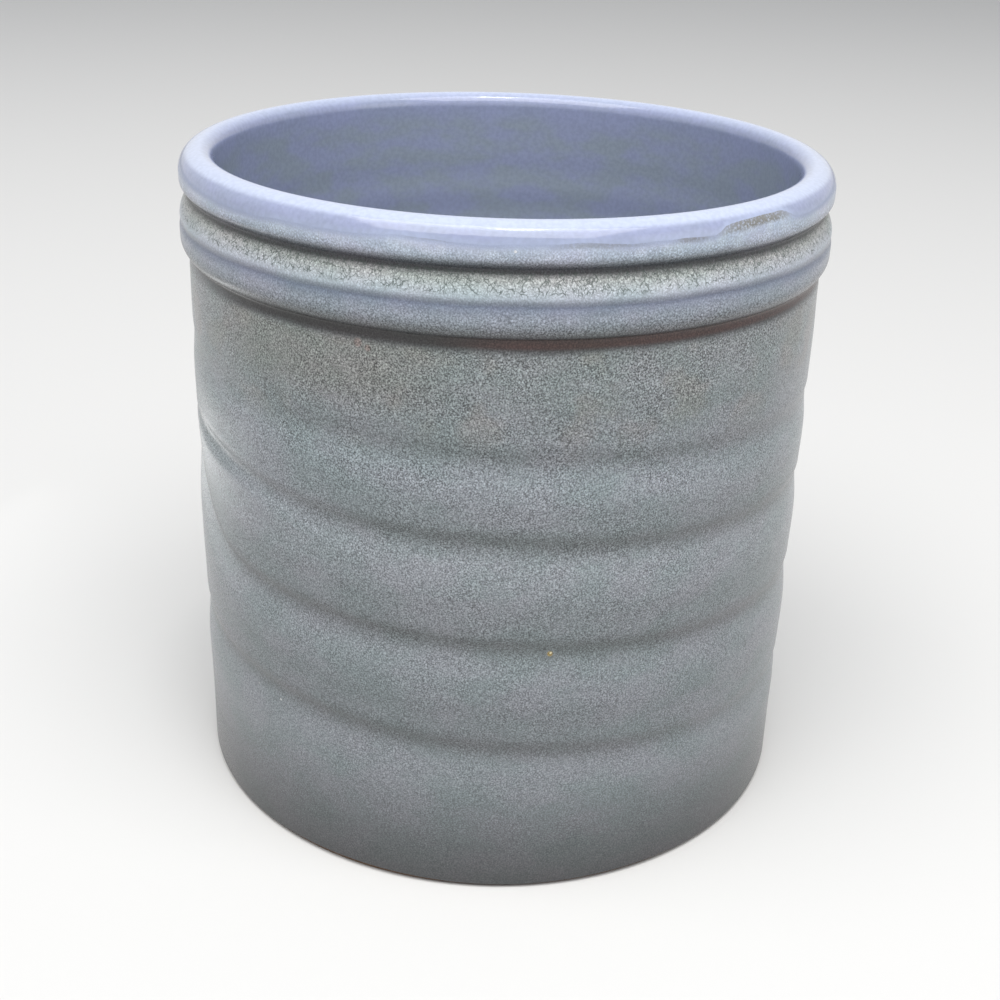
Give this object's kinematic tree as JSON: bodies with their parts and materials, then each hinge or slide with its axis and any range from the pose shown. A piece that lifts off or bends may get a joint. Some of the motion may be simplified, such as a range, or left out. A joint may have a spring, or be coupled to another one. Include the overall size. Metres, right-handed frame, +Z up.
{
  "type": "utensil crock",
  "caption": "Straight-sided glazed stoneware crock with a rolled rim, a band under it and throwing rings on the wall.",
  "frame": {"origin": "centre of the foot ring, on the surface that the crock stands on", "axes": "+Z up along the crock's axis, -Y towards the picture's viewer; the form is the same all round"},
  "size_m": [0.1652, 0.1652, 0.1694],
  "materials": {
    "bare_clay": "matt",
    "liner_glass": "gloss",
    "outer_glass": "gloss"
  },
  "bodies": {
    "root": {"clay_body": "bare_clay", "liner_glaze": "liner_glass", "outer_glaze": "outer_glass"}
  },
  "joints": []
}
